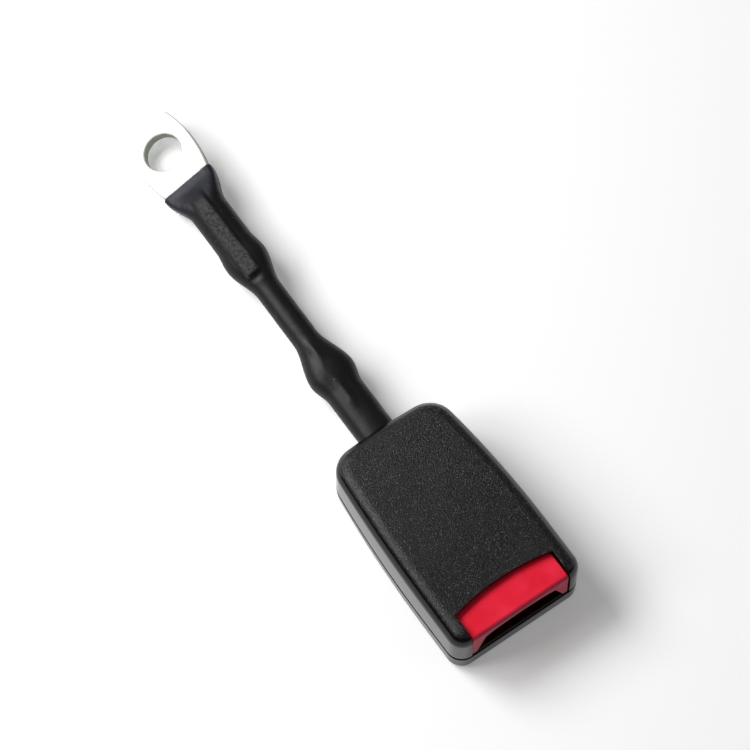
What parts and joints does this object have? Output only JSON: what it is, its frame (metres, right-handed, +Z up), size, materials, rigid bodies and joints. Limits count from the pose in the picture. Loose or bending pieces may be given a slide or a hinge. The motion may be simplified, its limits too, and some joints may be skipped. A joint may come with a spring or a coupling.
{
  "type": "seat belt buckle",
  "caption": "Seat belt buckle with a red end-release button, on a sleeved wire rope stalk with a crimped anchor plate for one bolt",
  "frame": {"origin": "Middle of the footprint, on the surface that the buckle lies on", "axes": "X runs across the buckle, Y along the stalk from the red button to the anchor plate, Z up through the top face"},
  "size_m": [0.0496, 0.2182, 0.025],
  "materials": {
    "cover_plastic": "fine grain",
    "button_plastic": "satin red",
    "sleeve_plastic": "smooth, slightly shiny shrink tube",
    "zinc_steel": "zinc plated",
    "plain_steel": "plain",
    "spring_steel": "drawn wire",
    "white_nylon": "moulded"
  },
  "bodies": {
    "buckle_body": {"upper_cover": "cover_plastic", "lower_cover": "cover_plastic", "buckle_frame": "zinc_steel", "latch_pin": "plain_steel", "frame_rivet": "zinc_steel", "buckle_terminal": "zinc_steel", "wire_rope": "plain_steel", "rope_liner": "white_nylon", "shrink_tube": "sleeve_plastic", "anchor_plate": "zinc_steel", "cover_screw_left": "zinc_steel", "cover_screw_right": "zinc_steel", "button_spring_left": "spring_steel", "button_spring_right": "spring_steel", "ejector_spring": "spring_steel"},
    "button": {"press_button": "button_plastic", "lock_bar": "plain_steel"},
    "latch": {"latch_plate": "plain_steel", "latch_spring": "spring_steel"},
    "ejector_slider": {"ejector": "white_nylon"}
  },
  "joints": [
    {"name": "button_press", "type": "slide", "parent": "buckle_body", "child": "button", "axis": [0, 1, 0], "range_m": [0, 0.006], "stiffness_N_per_m": 400, "springref_m": -0.004, "deforming": ["button_spring_left", "button_spring_right"]},
    {"name": "ejector_slide", "type": "slide", "parent": "buckle_body", "child": "ejector_slider", "axis": [0, 1, 0], "range_m": [0, 0.012], "stiffness_N_per_m": 300, "springref_m": -0.003, "deforming": ["ejector_spring"]},
    {"name": "latch_turn", "type": "hinge", "parent": "buckle_body", "child": "latch", "pos_m": [0, -0.0571, 0.0166], "axis": [1, 0, 0], "range_deg": [0, 7.8]}
  ],
  "couplings": [
    {"joint": "latch_turn", "follows": "ejector_slide", "rad_per_m": 11.3}
  ]
}
